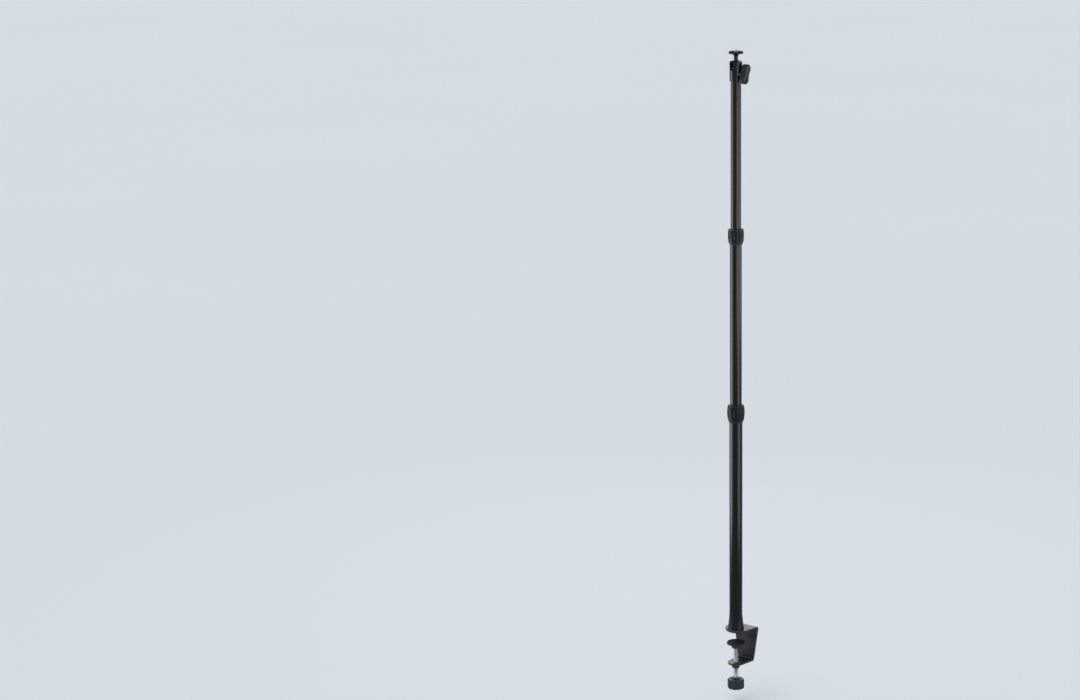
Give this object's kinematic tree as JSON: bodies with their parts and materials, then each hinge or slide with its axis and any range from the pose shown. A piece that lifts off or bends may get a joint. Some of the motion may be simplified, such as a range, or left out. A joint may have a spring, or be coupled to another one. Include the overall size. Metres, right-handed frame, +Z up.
{
  "type": "desk camera mount",
  "caption": "Telescoping pole that clamps to the edge of a desk, with twist locks between its sections and a small ball head with a side knob and a round camera platform.",
  "frame": {"origin": "where the pole's axis meets the desk's top, on the face of the upper jaw pad", "axes": "+Z up along the pole, +Y towards the desk's edge and the clamp's spine, +X along the desk's edge and out along the head's lock screw"},
  "size_m": [0.062, 0.059, 1.3853],
  "materials": {
    "powder_coated_steel": "satin black powder coat",
    "black_anodised": "satin black anodised",
    "gloss_anodised": "gloss black anodised",
    "black_steel": "black oxide",
    "bright_steel": "zinc plated",
    "rubber": "matte black",
    "black_plastic": "fine texture",
    "grey_plastic": "soft touch, dark grey green",
    "slide_plastic": "natural white"
  },
  "bodies": {
    "base": {"clamp_frame": "powder_coated_steel", "screw_nut": "powder_coated_steel", "upper_jaw_pad": "rubber", "foot_bolts": "black_steel", "pole_foot": "black_anodised", "foot_grub_screw": "black_steel", "lower_tube": "black_anodised", "lower_lock_sleeve": "black_anodised"},
    "jaw": {"pressure_plate": "powder_coated_steel", "pressure_pad": "rubber", "plate_retainer": "powder_coated_steel"},
    "handle": {"clamp_screw": "bright_steel", "clamp_knob": "black_plastic", "clamp_knob_cap": "black_plastic", "clamp_knob_pin": "bright_steel"},
    "lower_collar": {"lower_lock_collar": "black_plastic", "lower_lock_grip": "rubber"},
    "lower_collet": {"lower_lock_collet": "slide_plastic"},
    "middle": {"middle_tube": "black_anodised", "middle_tube_guide": "slide_plastic", "upper_lock_sleeve": "black_anodised"},
    "upper_collar": {"upper_lock_collar": "black_plastic", "upper_lock_grip": "rubber"},
    "upper_collet": {"upper_lock_collet": "slide_plastic"},
    "top": {"top_tube": "black_anodised", "top_tube_guide": "slide_plastic", "top_tube_cap": "black_anodised", "head_stud": "bright_steel", "head_housing": "gloss_anodised", "head_ring": "gloss_anodised", "pressure_cup": "slide_plastic"},
    "knob": {"head_lock_screw": "black_steel", "head_lock_knob": "grey_plastic", "head_knob_cap": "grey_plastic"},
    "ball": {"head_ball": "gloss_anodised"},
    "platform": {"ball_stem": "gloss_anodised", "camera_platform": "black_anodised", "platform_pad": "rubber", "camera_screw": "bright_steel"}
  },
  "joints": [
    {"name": "jaw_slide", "type": "slide", "parent": "base", "child": "jaw", "axis": [0, 0, 1], "range_m": [-0.03, 0.021]},
    {"name": "handle_turn", "type": "hinge", "parent": "jaw", "child": "handle", "pos_m": [0, 0, -0.03315], "axis": [0, 0, 1], "range_deg": [-7202, 5042]},
    {"name": "lower_lock_turn", "type": "hinge", "parent": "base", "child": "lower_collar", "pos_m": [0, 0, 0.48], "axis": [0, 0, 1], "range_deg": [0, 120]},
    {"name": "middle_turn", "type": "hinge", "parent": "base", "child": "lower_collet", "pos_m": [0, 0, 0.48], "axis": [0, 0, 1], "continuous": true},
    {"name": "middle_slide", "type": "slide", "parent": "lower_collet", "child": "middle", "axis": [0, 0, 1], "range_m": [-0.34, 0]},
    {"name": "upper_lock_turn", "type": "hinge", "parent": "middle", "child": "upper_collar", "pos_m": [0, 0, 0.86], "axis": [0, 0, 1], "range_deg": [0, 120]},
    {"name": "top_turn", "type": "hinge", "parent": "middle", "child": "upper_collet", "pos_m": [0, 0, 0.86], "axis": [0, 0, 1], "continuous": true},
    {"name": "top_slide", "type": "slide", "parent": "upper_collet", "child": "top", "axis": [0, 0, 1], "range_m": [-0.305, 0]},
    {"name": "head_lock_turn", "type": "hinge", "parent": "top", "child": "knob", "pos_m": [0, 0, 1.205], "axis": [1, 0, 0], "range_deg": [0, 180]},
    {"name": "head_tilt", "type": "hinge", "parent": "top", "child": "ball", "pos_m": [0, 0, 1.217], "axis": [1, 0, 0], "range_deg": [-25, 90]},
    {"name": "head_spin", "type": "hinge", "parent": "ball", "child": "platform", "pos_m": [0, 0, 1.217], "axis": [0, 0, 1], "continuous": true}
  ],
  "couplings": [
    {"joint": "handle_turn", "follows": "jaw_slide", "rad_per_m": 4188.8}
  ]
}
